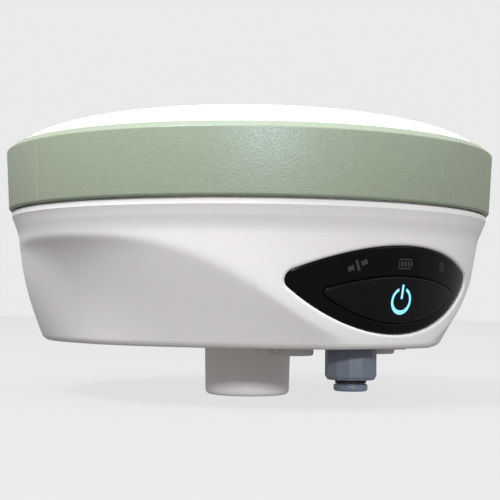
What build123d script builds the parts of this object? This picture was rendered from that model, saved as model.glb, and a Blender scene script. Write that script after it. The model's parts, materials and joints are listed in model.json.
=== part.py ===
from build123d import *
import os
from math import cos, exp, radians, sin, sqrt

# A satellite positioning receiver that screws onto a survey pole.
# Millimetres. The origin is the middle of the pole boss's lower face, +Z is up the pole,
# and the control panel faces -Y. The sides of the receiver mirror each other about X = 0.

# Heights above the boss face
floor_z = 21.0
rim_z = 71.4
ring_bottom_z = 72.0
ring_top_z = 97.0
dome_edge_z = 96.8
dome_top_z = 111.2

# Radii
ring_radius = 97.5
ring_inner_radius = 92.9
rim_radius = 95.0
drum_radius = 92.6
drum_top_z = 66.0
skirt_radius = 92.7
skirt_inner_radius = 90.0
boss_radius = 17.4
boss_tip_radius = 16.9
insert_radius = 11.0
thread_radius = 6.9
thread_depth = 19.0

# Walls
shell = 2.5
wall = 4.2
edge_round = 2.2

# Side scoops: under a ceiling the wall steps in a little, then runs down to a narrower oval
# foot. A turn above 1 makes the run start gently and steepen further down. The ceiling sweeps
# down in an S from the side toward the middle.
foot_half_width = 74.0
foot_front_reach = 86.7
foot_rear_reach = 86.0
foot_front_power = 1.7
foot_rear_power = 2.5
scoop_side_step = 3.4
scoop_front_step = 0.65
scoop_rear_step = 0.0
scoop_step_roll = 2.2
scoop_front_turn = 1.3
scoop_rear_turn = 2.2
scoop_edge_softness = 1.2
ceiling_low_z = 22.0
ceiling_rise = 37.2
ceiling_start_x = 10.5
ceiling_sweep = 80.0

# Control panel and power button, as leaf outlines on the front wall
panel_slope = 0.19
panel_recess = 0.7
panel_thickness = 1.8
panel_seat_gap = 0.25
panel_window_margin = 3.0
gasket_thickness = 0.4
icon_depth = 0.6
panel_leaf = dict(half_width=47.0, tip_z=46.0, top_z=57.0, bottom_z=26.3, tip_radius=3.5)
button_leaf = dict(half_width=32.8, tip_z=41.2, top_z=46.4, bottom_z=30.2, tip_radius=1.5)
button_gap = 0.35
button_proud = 0.5
symbol_z = 38.0
symbol_radius = 4.8
symbol_stroke = 1.1
panel_board_y = -73.0
panel_board_thickness = 1.6
panel_post_x = 24.0
panel_post_z = 47.6
panel_post_radius = 2.2

# Connector, sockets and plugs under the floor
connector_y = -61.4
connector_radius = 5.5
flange_radius = 9.0
flange_bottom_z = 20.7
flange_top_z = 22.4
cap_radius = 9.5
cap_bottom_z = 9.2
cap_top_z = 20.4
cap_facets = 12
end_disc_radius = 6.2
socket_x = 20.5
socket_y = -52.0
socket_radius = 6.4
socket_bore_radius = 5.2
contact_circle = 2.8
plug_radius = 8.0
plug_bottom_z = 18.0
plug_top_z = 20.9
plug_hinge_x = 31.3
plug_hinge_z = 19.3
anchor_stem_x = 34.0
anchor_stem_radius = 1.5

# Battery door, its hinge and the bay behind it
hinge_y = 21.5
hinge_z = 20.9
hinge_pin_radius = 0.8
knuckle_radius = 1.5
hinge_groove_half = 30.9
hinge_lug_end = 36.0
door_half_width = 38.1
door_front_y = 24.0
door_rear_y = 74.5
door_top_z = 23.0
door_corner = 6.0
door_gap = 0.4
door_opening_half = 36.0
door_opening_y = (25.2, 65.5)
bay_half_width = 38.0
bay_y = (24.2, 67.0)
bay_top_z = 50.0
bay_wall = 1.6

# Fixing places
column_places = [(52, 52), (-52, 52), (50, -42), (-50, -42)]
standoff_places = [(56, 8), (-56, 8), (34, -34), (-34, -34)]
bay_screw_places = [(40.8, 30), (-40.8, 30), (40.8, 60), (-40.8, 60)]
antenna_post_places = [(78, 0), (-78, 0), (0, 78), (0, -78)]
speaker_place = (44, -18)
vent_place = (-44, -18)
column_radius = 5.5
column_top_z = 69.0
cover_post_top_z = 104.1
antenna_post_top_z = 102.9
pilot_radius = 1.3

# Boards and antenna
floor_top_z = 25.0
board_z = 58.0
board_top_z = 59.6
ground_plane_z = 76.0
ground_plane_top_z = 77.6
amplifier_bottom_z = 71.0

os.makedirs("parts", exist_ok=True)


def save(shape, node):
    export_step(shape, "parts/" + node + ".step")


def group(solids):
    return Compound(children=list(solids))


def disc(radius, low, high, x=0, y=0):
    return Pos(x, y, (low + high) / 2) * Cylinder(radius, high - low)


def block(x0, x1, y0, y1, z0, z1):
    return Pos((x0 + x1) / 2, (y0 + y1) / 2, (z0 + z1) / 2) * Box(x1 - x0, y1 - y0, z1 - z0)


def rod_x(radius, x0, x1, y, z):
    return Pos((x0 + x1) / 2, y, z) * Rot(0, 90, 0) * Cylinder(radius, x1 - x0)


def rod_y(radius, y0, y1, x, z):
    return Pos(x, (y0 + y1) / 2, z) * Rot(90, 0, 0) * Cylinder(radius, y1 - y0)


def turned(*points):
    return revolve(Plane.XZ * Polygon(*points, align=None), Axis.Z)


# ---- the lower housing's wall ------------------------------------------------------------

def ease(t):
    t = min(1.0, max(0.0, t))
    return t * t * (3 - 2 * t)


def wall_radius(azimuth, z):
    """Outer radius at an azimuth from the front, in degrees, and a height."""
    across = abs(sin(radians(azimuth)))
    along = cos(radians(azimuth))
    drum = drum_radius - (0.05 + 0.07 * (1 + along)) * max(0.0, drum_top_z - z)
    reach, power = foot_rear_reach, foot_rear_power
    if along > 0:
        reach, power = foot_front_reach, foot_front_power
    foot = ((across / foot_half_width) ** power + (abs(along) / reach) ** power) ** (-1 / power)
    ceiling = ceiling_low_z + ceiling_rise * ease((drum * across - ceiling_start_x) / ceiling_sweep)
    below = ceiling - z
    below = (below + sqrt(below**2 + scoop_edge_softness**2)) / 2
    front, rear = ease(along / 0.6), ease(-along / 0.6)
    step = scoop_side_step * (1 - front - rear) + scoop_front_step * front + scoop_rear_step * rear
    turn = 1 + (scoop_front_turn - 1) * front + (scoop_rear_turn - 1) * rear
    share = min(1.0, below / max(6.0, ceiling - floor_z))
    radius = drum - step * (1 - exp(-below / scoop_step_roll))
    radius -= max(0.0, drum - step - foot) * share**turn
    rise = floor_z + edge_round - z
    if rise > 0:
        radius -= edge_round - sqrt(edge_round**2 - min(rise, edge_round) ** 2)
    return radius


def wall_section(z, inset):
    points = []
    for step in range(72):
        azimuth = step * 5
        radius = wall_radius(azimuth, z) - inset
        points.append((radius * sin(radians(azimuth)), -radius * cos(radians(azimuth)), z))
    return Face(Wire([Spline(*points, periodic=True)]))


def wall_body(heights, inset):
    return loft([wall_section(z, inset) for z in heights], ruled=True)


# ---- outlines on the front wall ----------------------------------------------------------

def leaf(half_width, tip_z, top_z, bottom_z, tip_radius, grow=0.0):
    """A leaf of two arcs with rounded tips. A sharp tip moves out by more than the sides do."""
    tip = half_width + 1.7 * grow
    upper = ThreePointArc((-tip, tip_z), (0, top_z + grow), (tip, tip_z))
    lower = ThreePointArc((tip, tip_z), (0, bottom_z - grow), (-tip, tip_z))
    outline = make_face([upper, lower])
    return fillet(outline.vertices(), max(0.5, tip_radius + grow))


def through_front(outline, near=60.0, far=100.0):
    return Pos(0, -near, 0) * extrude(Plane.XZ * outline, far - near)


def panel_cone(inset):
    """Everything inside the panel's face, moved in by inset."""
    low, high = 20.0, 62.0
    return turned(
        (0, low),
        (drum_radius - panel_recess - inset - panel_slope * (drum_top_z - low), low),
        (drum_radius - panel_recess - inset - panel_slope * (drum_top_z - high), high),
        (0, high),
    )


# ---- covers ------------------------------------------------------------------------------

def dome(edge_radius, edge_z, top_z, low):
    """A low dome that is flat on top and rolls over steeply at its edge, on a straight skirt."""
    points = []
    for step in range(13):
        reach = sin(radians(7.5 * step))
        points.append((edge_radius * reach, edge_z + (top_z - edge_z) * (1 - reach**2.52) ** 0.6))
    crown = Spline(*points, tangents=((1, 0), (0, -1)))
    skirt = Polyline((edge_radius, edge_z), (edge_radius, low), (0, low), (0, top_z))
    return revolve(Plane.XZ * make_face([crown, skirt]), Axis.Z)


def radome_cover():
    outside = dome(skirt_radius, dome_edge_z, dome_top_z, rim_z)
    inside = dome(skirt_inner_radius, dome_edge_z - shell, dome_top_z - shell, rim_z - 1)
    cover = outside - inside
    for x, y in column_places:
        cover += disc(5.0, column_top_z, cover_post_top_z, x, y)
        cover -= disc(1.5, column_top_z - 1, 79, x, y)
    for x, y in antenna_post_places:
        cover += disc(4.0, ground_plane_top_z, antenna_post_top_z, x, y)
        cover -= disc(pilot_radius, ground_plane_top_z - 1, 85, x, y)
    return cover


def bumper_ring():
    return turned(
        (ring_inner_radius, ring_bottom_z),
        (ring_radius - 2.3, ring_bottom_z),
        (ring_radius - 1.3, ring_bottom_z + 1.2),
        (ring_radius, ring_top_z - 3.6),
        (ring_radius - 0.5, ring_top_z - 2.0),
        (ring_radius - 1.6, ring_top_z - 0.7),
        (ring_radius - 3.2, ring_top_z),
        (ring_inner_radius + 0.7, ring_top_z),
        (ring_inner_radius, ring_top_z - 0.7),
    )


def covers():
    save(radome_cover(), "radome_cover")
    ring = bumper_ring()
    save(ring & block(-110, 110, -110, -0.08, 60, 110), "bumper_ring_front")
    save(ring & block(-110, 110, 0.08, 110, 60, 110), "bumper_ring_rear")
    seal = turned((90.7, 70.25), (92.1, 70.25), (92.1, rim_z), (90.7, rim_z))
    save(seal, "housing_seal")
    screws = []
    for x, y in column_places:
        head = disc(2.8, 57.2, 60, x, y) - disc(1.3, 56, 58.8, x, y)
        screws.append(head + disc(1.45, 60, 78, x, y))
    save(group(screws), "cover_screws")


# ---- lower housing -----------------------------------------------------------------------

def lower_housing():
    low_heights = [floor_z, 21.1, 21.3, 21.7, 22.3, floor_z + edge_round, 24, floor_top_z]
    heights = low_heights + [floor_top_z + 1.25 * step for step in range(1, 31)] + [drum_top_z, 70.8]
    inner_heights = [floor_top_z + 3 * step for step in range(13)] + [drum_top_z, 74]
    housing = wall_body(heights, 0)
    housing += turned(
        (80, 66.4), (92.4, 66.4), (92.8, 67.8), (93.8, 69.0), (94.7, 69.6), (rim_radius, 70.2),
        (rim_radius, rim_z - 0.4), (rim_radius - 0.4, rim_z), (80, rim_z),
    )
    housing -= wall_body(inner_heights, wall)
    housing -= turned((90.6, 70.2), (92.2, 70.2), (92.2, 72), (90.6, 72))
    boss = turned((0, 0), (boss_tip_radius, 0), (boss_radius, floor_z + 1), (0, floor_z + 1))
    boss = fillet(boss.edges().group_by(Axis.Z)[0], 2.0)
    housing += boss
    housing += disc(14.5, floor_z, floor_top_z + 3)
    housing -= disc(insert_radius, -1, 20)
    for x, y in column_places:
        housing += disc(column_radius, floor_top_z - 1, column_top_z, x, y)
        housing -= disc(3.2, floor_z - 3, 60, x, y)
        housing -= disc(1.6, 59, column_top_z + 1, x, y)
    for x, y in bay_screw_places:
        housing -= disc(pilot_radius, 22.4, floor_top_z + 1, x, y)
    housing = cut_panel_seat(housing)
    housing = cut_fitting_holes(housing)
    housing = cut_door_opening(housing)
    return add_hinge_lugs(housing)


def cut_panel_seat(housing):
    seat = through_front(leaf(**panel_leaf, grow=panel_seat_gap))
    seat -= panel_cone(panel_thickness + gasket_thickness)
    window = through_front(leaf(**panel_leaf, grow=-panel_window_margin))
    return housing - seat - window


def floor_hole(radius, x, y):
    return disc(radius, floor_z - 1, floor_top_z + 1, x, y)


def cut_fitting_holes(housing):
    for side in (-1, 1):
        housing -= floor_hole(socket_radius + 0.1, side * socket_x, socket_y)
        housing -= floor_hole(anchor_stem_radius, side * anchor_stem_x, socket_y)
    housing -= floor_hole(connector_radius + 0.1, 0, connector_y)
    housing -= disc(flange_radius + 0.3, floor_z - 1, flange_top_z, 0, connector_y)
    housing -= floor_hole(4.05, *vent_place)
    housing -= floor_hole(0.9, *speaker_place)
    for step in range(6):
        x = speaker_place[0] + 4 * cos(radians(60 * step))
        y = speaker_place[1] + 4 * sin(radians(60 * step))
        housing -= floor_hole(0.9, x, y)
    return housing


def cut_door_opening(housing):
    half = door_half_width + door_gap
    front, rear = door_front_y - door_gap, door_rear_y + door_gap
    recess = block(-half, half, front, rear, floor_z - 1, door_top_z + 0.2)
    recess = fillet(recess.edges().filter_by(Axis.Z).sort_by(Axis.Y)[2:], door_corner + door_gap)
    housing -= recess
    half = door_opening_half
    housing -= block(-half, half, *door_opening_y, floor_z - 1, floor_top_z + 1)
    housing -= block(-5.6, 5.6, 65, 77.5, door_top_z, floor_top_z + 1)
    half = hinge_groove_half
    groove_back = hinge_y - knuckle_radius - 0.5
    return housing - block(-half, half, groove_back, front + 1, floor_z - 1, hinge_z + knuckle_radius + 0.4)


def add_hinge_lugs(housing):
    for side in (-1, 1):
        x0, x1 = sorted((side * hinge_groove_half, side * hinge_lug_end))
        lug = block(x0, x1, hinge_y - knuckle_radius, hinge_y + knuckle_radius, hinge_z, floor_z + 0.5)
        lug += rod_x(knuckle_radius, x0, x1, hinge_y, hinge_z)
        housing += lug
    return housing - rod_x(hinge_pin_radius, -hinge_lug_end, hinge_lug_end, hinge_y, hinge_z)


def pole_insert():
    return disc(insert_radius, 0, 20) - disc(thread_radius, -1, thread_depth)


# ---- control panel -----------------------------------------------------------------------

def symbol_outline():
    ring = Circle(symbol_radius) - Circle(symbol_radius - symbol_stroke)
    ring -= Pos(0, symbol_radius) * Rectangle(3.6, 4.8)
    bar = Pos(0, 3.4) * Rectangle(symbol_stroke, 5.2)
    return [Pos(0, symbol_z) * ring, Pos(0, symbol_z) * bar]


def icon_outlines():
    satellite = Pos(-20.3, 49.9) * Rot(0, 0, 20) * Rectangle(7.0, 2.4)
    battery = Pos(0, 50.9) * Rectangle(5.6, 3.4)
    data = Pos(21.0, 50.1) * Rectangle(4.0, 4.2)
    return [satellite, battery, data]


def control_panel():
    thick = panel_cone(0) - panel_cone(panel_thickness)
    panel = through_front(leaf(**panel_leaf)) & thick
    panel -= through_front(leaf(**button_leaf, grow=button_gap))
    for x in (-panel_post_x, panel_post_x):
        panel += rod_y(panel_post_radius, -86, panel_board_y, x, panel_post_z) & panel_cone(1)
        panel -= rod_y(1.0, -80, -70, x, panel_post_z)
    for outline in icon_outlines():
        panel -= through_front(outline) - panel_cone(icon_depth)
    return panel


def panel_parts():
    save(control_panel(), "control_panel")
    ring = leaf(**panel_leaf, grow=-0.4) - leaf(**panel_leaf, grow=-2.6)
    gasket = through_front(ring) & panel_cone(panel_thickness)
    save(gasket - panel_cone(panel_thickness + gasket_thickness), "panel_gasket")
    icons = [through_front(outline) & (panel_cone(0) - panel_cone(icon_depth)) for outline in icon_outlines()]
    save(group(icons), "indicator_lenses")

    button_back, symbol_back, plunger_end_y = 1.6, 0.3, -77.15
    button = through_front(leaf(**button_leaf)) & (panel_cone(-button_proud) - panel_cone(button_back))
    button += rod_y(2.0, -86, plunger_end_y, 0, symbol_z) & panel_cone(1)
    light = []
    for outline in symbol_outline():
        light.append(through_front(outline) & (panel_cone(-button_proud) - panel_cone(symbol_back)))
        button -= through_front(outline) - panel_cone(symbol_back)
    save(button, "power_button")
    save(group(light), "power_symbol")

    board_back_y = panel_board_y + panel_board_thickness
    board = block(-28, 28, panel_board_y, board_back_y, 30, 54)
    screws = []
    for x in (-panel_post_x, panel_post_x):
        board -= rod_y(1.1, panel_board_y - 2, board_back_y + 1, x, panel_post_z)
        head = rod_y(2.0, board_back_y, board_back_y + 1.4, x, panel_post_z)
        screws.append(head + rod_y(0.95, -78, board_back_y, x, panel_post_z))
    save(board, "panel_board")
    save(group(screws), "panel_board_screws")
    switch = block(-3, 3, panel_board_y - 2.5, panel_board_y, symbol_z - 3, symbol_z + 3)
    switch += rod_y(1.6, -76.5, -75, 0, symbol_z)
    save(switch, "power_switch")
    lamps = []
    for x, z in [(-20.3, 46), (0, 50.9), (18, 46), (0, 32.8)]:
        lamps.append(block(x - 1, x + 1, panel_board_y - 1, panel_board_y, z - 1, z + 1))
    save(group(lamps), "status_lamps")


# ---- underside fittings ------------------------------------------------------------------

def connector_cap():
    body = extrude(Pos(0, 0, cap_bottom_z) * RegularPolygon(cap_radius, cap_facets), cap_top_z - cap_bottom_z)
    body = fillet(body.edges().filter_by(Axis.Z), 0.8)
    chamfer = 1.2
    body &= turned(
        (0, cap_bottom_z), (cap_radius - chamfer, cap_bottom_z), (cap_radius, cap_bottom_z + chamfer),
        (cap_radius, cap_top_z), (0, cap_top_z),
    )
    body -= disc(connector_radius + 0.08, cap_bottom_z + 2, cap_top_z + 1)
    body += disc(4.8, 7.6, cap_bottom_z + 0.1)
    body += fillet(disc(end_disc_radius, 5.1, 7.7).edges(), 0.6)
    return Pos(0, connector_y, 0) * body


def antenna_connector():
    connector = disc(connector_radius, 11.5, 31) + disc(flange_radius, flange_bottom_z, flange_top_z)
    connector -= disc(3.8, 11, 17)
    return Pos(0, connector_y, 0) * (connector + disc(0.7, 12.2, 17.5))


def save_socket(name, side):
    x = side * socket_x
    socket = disc(socket_radius, 21.4, 35, x, socket_y)
    socket += disc(8.5, floor_top_z, floor_top_z + 2, x, socket_y)
    save(socket - disc(socket_bore_radius, 20, 33, x, socket_y), name + "_socket")
    contacts = []
    for step in range(5):
        angle = radians(72 * step)
        place = (x + contact_circle * cos(angle), socket_y + contact_circle * sin(angle))
        contacts.append(disc(0.5, 28, 33, *place))
    save(group(contacts), name + "_socket_contacts")


def save_plug(name, side):
    """The plug and its strap end, which meets the anchor at a thin living hinge."""
    x = side * socket_x
    plug = disc(plug_radius, plug_bottom_z, plug_top_z, x, socket_y)
    plug = fillet(plug.edges().group_by(Axis.Z)[0], 0.8)
    plug += disc(4.4, plug_top_z - 0.1, 23.2, x, socket_y)
    x0, x1 = sorted((side * (plug_hinge_x - 0.1), side * (plug_hinge_x - 5)))
    plug += block(x0, x1, socket_y - 2.5, socket_y + 2.5, plug_hinge_z, plug_top_z)
    save(plug, name + "_socket_plug")


def plug_anchor(side):
    x0, x1 = sorted((side * (plug_hinge_x + 0.1), side * (plug_hinge_x + 5)))
    anchor = block(x0, x1, socket_y - 2.5, socket_y + 2.5, plug_hinge_z, floor_z)
    return anchor + disc(anchor_stem_radius - 0.05, 20.5, floor_top_z, side * anchor_stem_x, socket_y)


def underside_parts():
    save(antenna_connector(), "antenna_connector")
    nut = extrude(Pos(0, 0, floor_top_z) * RegularPolygon(8.2, 6), 3) - disc(connector_radius, 24, 29)
    save(Pos(0, connector_y, 0) * nut, "connector_nut")
    save(connector_cap(), "connector_cap")
    ring = turned((4.85, 7.9), (5.7, 7.9), (5.7, 9.0), (4.85, 9.0))
    save(Pos(0, connector_y, 0) * ring, "cap_tether_ring")
    for side, name in ((-1, "data"), (1, "power")):
        save_socket(name, side)
        save_plug(name, side)
    save(group([plug_anchor(-1), plug_anchor(1)]), "plug_anchors")
    vent = disc(5.2, 19.8, floor_z, *vent_place) + disc(4.0, 20.5, 26, *vent_place)
    save(vent, "pressure_vent")
    speaker = disc(10, floor_top_z, 27, *speaker_place) + disc(7, 26.5, 30, *speaker_place)
    save(speaker, "speaker")
    save(pole_insert(), "pole_thread_insert")


# ---- battery -----------------------------------------------------------------------------

def battery_door():
    half = door_half_width
    door = block(-half, half, door_front_y, door_rear_y, floor_z, door_top_z)
    door = fillet(door.edges().filter_by(Axis.Z).sort_by(Axis.Y)[2:], door_corner)
    for y in (38, 52):
        door += block(-30, 30, y, y + 2, door_top_z - 0.1, 25.8)
    door -= block(-2.4, 2.4, 66.8, 72.4, 20, 24)
    for x0, x1 in ((-30.6, -12), (12, 30.6)):
        door += rod_x(knuckle_radius, x0, x1, hinge_y, hinge_z)
        door += block(x0, x1, hinge_y, door_front_y + 0.2, floor_z, hinge_z + knuckle_radius)
        door -= rod_x(hinge_pin_radius + 0.06, x0 - 1, x1 + 1, hinge_y, hinge_z)
    return door


def battery_parts():
    save(battery_door(), "battery_door")
    seal = block(-35.4, 35.4, 26.6, 64.8, door_top_z, 24.4) - block(-34, 34, 28, 63.4, 22, 25)
    save(seal, "door_seal")
    save(rod_x(hinge_pin_radius, -hinge_lug_end, hinge_lug_end, hinge_y, hinge_z), "door_hinge_pin")
    lock = block(-7, 7, 65.5, 70.5, 19.6, floor_z - 0.1)
    lock += block(-2.2, 2.2, 67, 69.2, 20.5, 23.5)
    lock += block(-5, 5, 66.3, 73.4, door_top_z + 0.3, 24.5)
    save(lock, "door_lock")

    half, inner = bay_half_width, bay_half_width - bay_wall
    front, rear = bay_y
    bay = block(-half, half, front, rear, floor_top_z, bay_top_z)
    for x, y in bay_screw_places:
        bay += disc(3.5, floor_top_z, 27.5, x, y)
    bay -= block(-inner, inner, front + bay_wall, rear - bay_wall, floor_top_z - 1, bay_top_z - bay_wall)
    screws = []
    for x, y in bay_screw_places:
        bay -= disc(pilot_radius, 24, 29, x, y)
        screws.append(disc(1.25, 22.6, 27.6, x, y) + disc(2.4, 27.5, 29.2, x, y))
    save(bay, "battery_bay")
    save(group(screws), "bay_screws")
    save(fillet(block(-35.4, 35.4, 26.4, 64.8, 26, 46.4).edges(), 1.5), "battery_pack")
    bay_ceiling_z = bay_top_z - bay_wall
    contacts = block(-8, 8, 30, 35, bay_ceiling_z - 1, bay_ceiling_z)
    for x in (-5, 0, 5):
        contacts += disc(0.8, bay_ceiling_z - 1.8, bay_ceiling_z - 0.9, x, 32.5)
    save(contacts, "battery_contacts")
    save(block(12, 28, 28, 43, bay_ceiling_z - 1.6, bay_ceiling_z), "sim_holder")


# ---- electronics and antenna -------------------------------------------------------------

def electronics():
    board = disc(82, board_z, board_top_z)
    posts, screws = [], []
    for x, y in column_places:
        board -= disc(6.2, 57, 61, x, y)
    for x, y in standoff_places:
        board -= disc(1.5, 57, 61, x, y)
        posts.append(disc(3, floor_top_z, board_z, x, y) - disc(pilot_radius, 50, 59, x, y))
        screws.append(disc(1.25, 52, board_top_z + 0.1, x, y) + disc(2.5, board_top_z, 61.4, x, y))
    save(board, "main_board")
    save(group(posts), "board_standoffs")
    save(group(screws), "board_screws")
    save(block(-36, 36, 5, 50, board_top_z, 65), "gnss_module")
    save(block(-30, 30, -50, -12, board_top_z, 65.6), "radio_modem")
    save(block(36, 50, -12, 3, board_top_z, 62.5), "bluetooth_module")

    plane = disc(86, ground_plane_z, ground_plane_top_z)
    for x, y in column_places:
        plane -= disc(5.6, 75, 79, x, y)
    screws = []
    for x, y in antenna_post_places:
        plane -= disc(1.4, 75, 79, x, y)
        screws.append(disc(1.25, 75.9, 84, x, y) + disc(2.4, 74.4, ground_plane_z, x, y))
    save(plane, "antenna_ground_plane")
    save(group(screws), "ground_plane_screws")
    save(block(-30, 30, -30, 30, ground_plane_top_z, 83.6), "lower_patch")
    save(block(-18, 18, -18, 18, 83.6, 89.6), "upper_patch")
    save(block(-20, 20, -25, 25, amplifier_bottom_z, ground_plane_z), "amplifier_shield")
    save(disc(2, board_top_z, amplifier_bottom_z, 0, -3), "antenna_link")


covers()
save(lower_housing(), "lower_housing")
panel_parts()
underside_parts()
battery_parts()
electronics()
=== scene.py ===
import json
from math import acos, asin, atan2, cos, exp, hypot, pi, radians, sin, sqrt, tan

import bmesh
import bpy
from mathutils import Matrix, Vector

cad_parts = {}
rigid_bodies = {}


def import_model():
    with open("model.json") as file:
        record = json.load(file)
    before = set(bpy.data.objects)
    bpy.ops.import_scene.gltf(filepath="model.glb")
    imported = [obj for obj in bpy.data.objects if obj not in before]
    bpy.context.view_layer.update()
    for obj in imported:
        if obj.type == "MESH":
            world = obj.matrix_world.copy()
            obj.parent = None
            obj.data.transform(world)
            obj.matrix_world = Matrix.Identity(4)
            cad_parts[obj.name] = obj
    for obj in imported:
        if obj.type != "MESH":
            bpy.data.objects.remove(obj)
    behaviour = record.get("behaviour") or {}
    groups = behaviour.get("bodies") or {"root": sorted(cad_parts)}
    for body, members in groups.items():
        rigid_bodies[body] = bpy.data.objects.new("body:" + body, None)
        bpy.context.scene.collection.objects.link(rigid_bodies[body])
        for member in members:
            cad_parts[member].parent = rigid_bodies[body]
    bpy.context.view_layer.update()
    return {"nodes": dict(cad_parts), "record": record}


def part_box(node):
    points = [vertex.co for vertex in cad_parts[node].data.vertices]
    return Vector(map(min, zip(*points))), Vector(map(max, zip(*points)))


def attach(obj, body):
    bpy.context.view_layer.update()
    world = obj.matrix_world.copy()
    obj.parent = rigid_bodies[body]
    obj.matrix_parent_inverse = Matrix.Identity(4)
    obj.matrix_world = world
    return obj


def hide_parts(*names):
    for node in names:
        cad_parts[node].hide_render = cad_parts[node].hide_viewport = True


# The looks of a satellite positioning receiver. Lengths are millimetres in the frame's axes
# until a mesh or an object is made, which is in metres.

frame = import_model()
MM = 0.001


def span(node):
    """A CAD node's lowest and highest corners, in millimetres."""
    low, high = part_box(node)
    return Vector(low) / MM, Vector(high) / MM


# ---- sizes, from the frame where it holds them -------------------------------------------

RING_LOW, RING_HIGH = span("bumper_ring_front")
RING_BOTTOM, RING_TOP, RING_RADIUS = RING_LOW.z, RING_HIGH.z, RING_HIGH.x
RING_INNER = 92.9
HOUSING_HIGH = span("lower_housing")[1]
RIM_Z, RIM_RADIUS = HOUSING_HIGH.z, HOUSING_HIGH.x
DOME_TOP = span("radome_cover")[1].z
DOME_EDGE, SKIRT_RADIUS, SKIRT_INNER = 96.8, 92.7, 90.0
SHELL = 2.5
DRUM, DRUM_TOP, REAR_TAPER, TAPER_RISE = 92.6, 66.0, 0.05, 0.07
FLOOR, FLOOR_TOP, WALL, EDGE = 21.0, 25.0, 4.2, 2.2
COVE_LOW, LIP_LOW = 60.5, 69.4
FOOT_SIDE, FOOT_FRONT, FOOT_REAR = 74.0, 86.7, 86.0
CEILING_LOW, CEILING_RISE, CEILING_START, CEILING_RUN = 22.0, 37.2, 10.5, 80.0
SCOOP_STEP, FRONT_STEP, SCOOP_ROLL, SCOOP_SOFT = 3.4, 0.65, 2.2, 1.2
SEAL_GROOVE_OUTER, SEAL_GROOVE_INNER, SEAL_GROOVE_Z, RIM_INNER = 92.2, 90.6, 70.2, 88.4
BOSS, BOSS_TIP = 17.4, 16.9
INSERT_RADIUS, INSERT_TOP = span("pole_thread_insert")[1].x, span("pole_thread_insert")[1].z
THREAD_MINOR, THREAD_MAJOR, THREAD_PITCH, THREAD_DEPTH = 6.9, 7.9, 2.31, 19.0

PANEL_SLOPE, PANEL_RECESS, PANEL_THICK = 0.19, 0.7, 1.8
PANEL = dict(half_width=47.0, tip_z=46.0, top_z=57.0, bottom_z=26.3, tip=3.5)
BUTTON = dict(half_width=32.8, tip_z=41.2, top_z=46.4, bottom_z=30.2, tip=1.5)
BUTTON_GAP, BUTTON_PROUD = 0.35, 0.5
SYMBOL_Z, SYMBOL_RADIUS = 38.0, 4.8
WINDOW_TURN, WINDOW_LOW, WINDOW_HIGH = 36.0, 23.1, 60.5
# The wall's columns are TURN_STEP degrees apart. The window in it round the panel has ARC_STEPS
# columns and TIP_STEPS rows, as the panel's leaf outline has, so the two join point for point.
TURN_STEP, TURNS = 1.5, 240
ARC_STEPS, TIP_STEPS, COVE_STEPS = 48, 38, 12

CONNECTOR_Y = (span("connector_cap")[0].y + span("connector_cap")[1].y) / 2
SOCKET_X, SOCKET_Y, ANCHOR_X = 20.5, -52.0, 34.0
HINGE_Y, HINGE_Z, KNUCKLE, HINGE_PIN = 21.5, 20.9, 1.5, 0.8
LUG_INNER, LUG_OUTER = 30.9, 36.0
DOOR_HALF, DOOR_FRONT, DOOR_BACK, DOOR_GAP = 38.1, 24.0, 74.5, 0.4
FLANGE_RADIUS, FLANGE_LOW, FLANGE_HIGH = 9.0, 20.7, 22.4
CAP_RADIUS, CAP_LOW, CAP_HIGH = 9.5, 9.2, 20.4
GRIP_RADIUS, SCALLOPS = 8.7, 12
COLUMNS = [(52, 52), (-52, 52), (50, -42), (-50, -42)]
COLUMN_RADIUS, COLUMN_TOP, WELL_RADIUS, WELL_TOP = 5.5, 69.0, 3.2, 60.0
BAY_SCREWS = [(40.8, 30), (-40.8, 30), (40.8, 60), (-40.8, 60)]
ANTENNA_POSTS = [(78, 0), (-78, 0), (0, 78), (0, -78)]
SPEAKER, VENT = (44, -18), (-44, -18)


# ---- meshes ------------------------------------------------------------------------------

class Shape:
    """Points in millimetres and faces between them. Points at one place are shared."""

    def __init__(self):
        self.points, self.faces, self.found = [], [], {}

    def point(self, place):
        key = tuple(round(c, 4) + 0.0 for c in place)
        if key not in self.found:
            self.found[key] = len(self.points)
            self.points.append(key)
        return self.found[key]

    def face(self, *places):
        corners = [self.point(p) for p in places]
        corners = [c for n, c in enumerate(corners) if c != corners[n - 1]]
        if len(set(corners)) == len(corners) and len(corners) > 2:
            self.faces.append(corners)

    def strip(self, one, other, closed=True):
        for n in range(0 if closed else 1, len(one)):
            self.face(one[n - 1], one[n], other[n], other[n - 1])

    def stack(self, rings, capped=True):
        """A skin over rings of equal length, closed by a face at each end."""
        for one, other in zip(rings, rings[1:]):
            self.strip(one, other)
        if capped:
            self.face(*rings[0])
            self.face(*rings[-1])

    def lathe(self, profile, columns=128, x=0.0, y=0.0, swell=None):
        """A closed profile of (radius, height) turned about a vertical line."""
        rings = []
        for step in range(columns):
            angle = radians(360.0 * step / columns)
            ring = []
            for r, z in profile:
                reach = swell(r, angle) if swell else r
                ring.append((x + reach * cos(angle), y + reach * sin(angle), z))
            rings.append(ring)
        for one, other in zip(rings, rings[1:] + rings[:1]):
            self.strip(one, other)

    def join(self, other):
        for face in other.faces:
            self.face(*[other.points[c] for c in face])
        return self


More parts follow.
